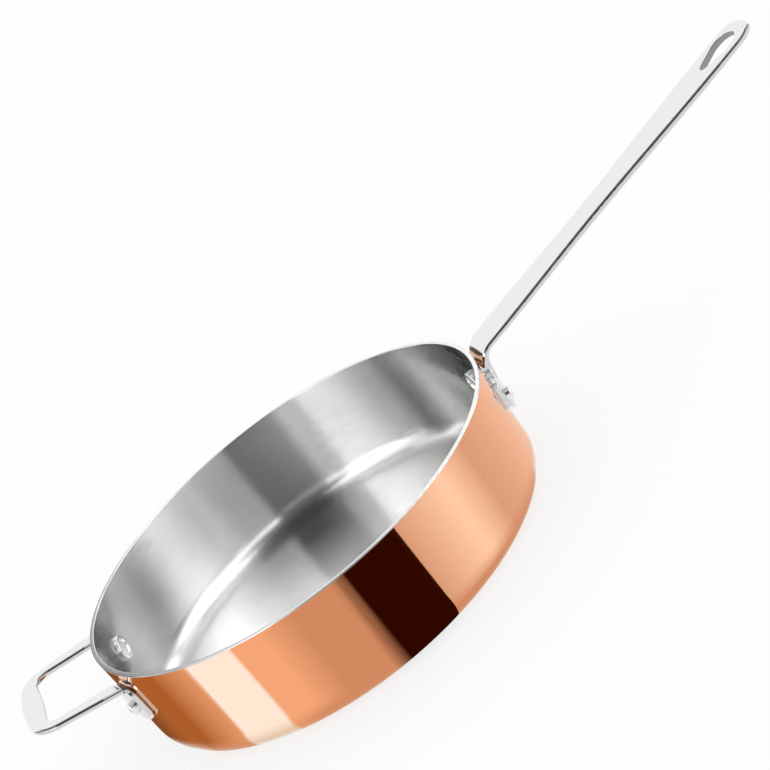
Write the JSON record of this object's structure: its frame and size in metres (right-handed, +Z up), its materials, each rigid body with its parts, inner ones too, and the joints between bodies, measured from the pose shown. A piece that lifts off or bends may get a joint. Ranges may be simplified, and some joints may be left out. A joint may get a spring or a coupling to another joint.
{
  "type": "saute pan",
  "caption": "Straight-sided copper-clad saute pan with a flat base, a long riveted steel handle with a hanging hole and a small steel loop handle opposite.",
  "frame": {"origin": "centre of the flat underside of the base", "axes": "+Z up, +X out along the long handle, the helper handle towards -X"},
  "size_m": [0.5906, 0.2858, 0.1253],
  "materials": {
    "copper": "mirror polished",
    "core": "bare",
    "lining": "brushed in circles",
    "handle_steel": "satin polished",
    "rivet_steel": "polished"
  },
  "bodies": {
    "root": {"copper_shell": "copper", "aluminium_core": "core", "steel_lining": "lining", "long_handle": "handle_steel", "helper_handle": "handle_steel", "handle_rivet_left": "rivet_steel", "handle_rivet_right": "rivet_steel", "helper_rivet_left": "rivet_steel", "helper_rivet_right": "rivet_steel"}
  },
  "joints": []
}
